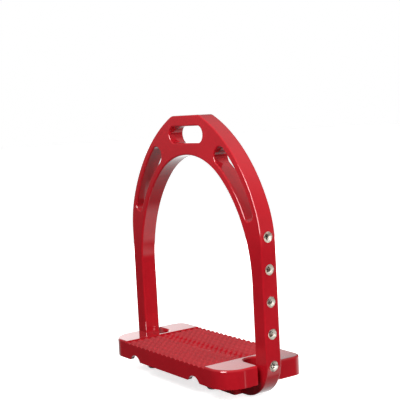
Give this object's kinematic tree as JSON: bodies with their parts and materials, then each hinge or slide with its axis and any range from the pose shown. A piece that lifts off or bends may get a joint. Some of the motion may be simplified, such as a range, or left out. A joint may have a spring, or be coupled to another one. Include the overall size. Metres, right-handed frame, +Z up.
{
  "type": "stirrup iron",
  "caption": "Riding stirrup iron: arched frame with a leather eye and shoulder slots, a wide studded tread screwed on from below, and crystals let into both branches.",
  "frame": {"origin": "middle of the flat underside of the crossbar, the face that the iron stands on, in the mid-plane of the frame", "axes": "+Z up along the branches to the leather eye, X from branch to branch, Y from the front of the tread (-Y) to its back (+Y)"},
  "size_m": [0.1424, 0.0577, 0.1648],
  "materials": {
    "frame_lacquer": "gloss red lacquer on cast aluminium",
    "tread_lacquer": "gloss red lacquer on cast aluminium, studded",
    "screw_steel": "plain stainless steel",
    "crystal": "clear cut crystal with a silver foil back",
    "adhesive": "clear epoxy"
  },
  "bodies": {
    "root": {"stirrup_frame": "frame_lacquer", "tread_plate": "tread_lacquer", "tread_screws": "screw_steel", "crystal_left_1": "crystal", "crystal_left_2": "crystal", "crystal_left_3": "crystal", "crystal_left_4": "crystal", "crystal_left_5": "crystal", "crystal_right_1": "crystal", "crystal_right_2": "crystal", "crystal_right_3": "crystal", "crystal_right_4": "crystal", "crystal_right_5": "crystal", "crystal_adhesive_left_1": "adhesive", "crystal_adhesive_left_2": "adhesive", "crystal_adhesive_left_3": "adhesive", "crystal_adhesive_left_4": "adhesive", "crystal_adhesive_left_5": "adhesive", "crystal_adhesive_right_1": "adhesive", "crystal_adhesive_right_2": "adhesive", "crystal_adhesive_right_3": "adhesive", "crystal_adhesive_right_4": "adhesive", "crystal_adhesive_right_5": "adhesive"}
  },
  "joints": []
}
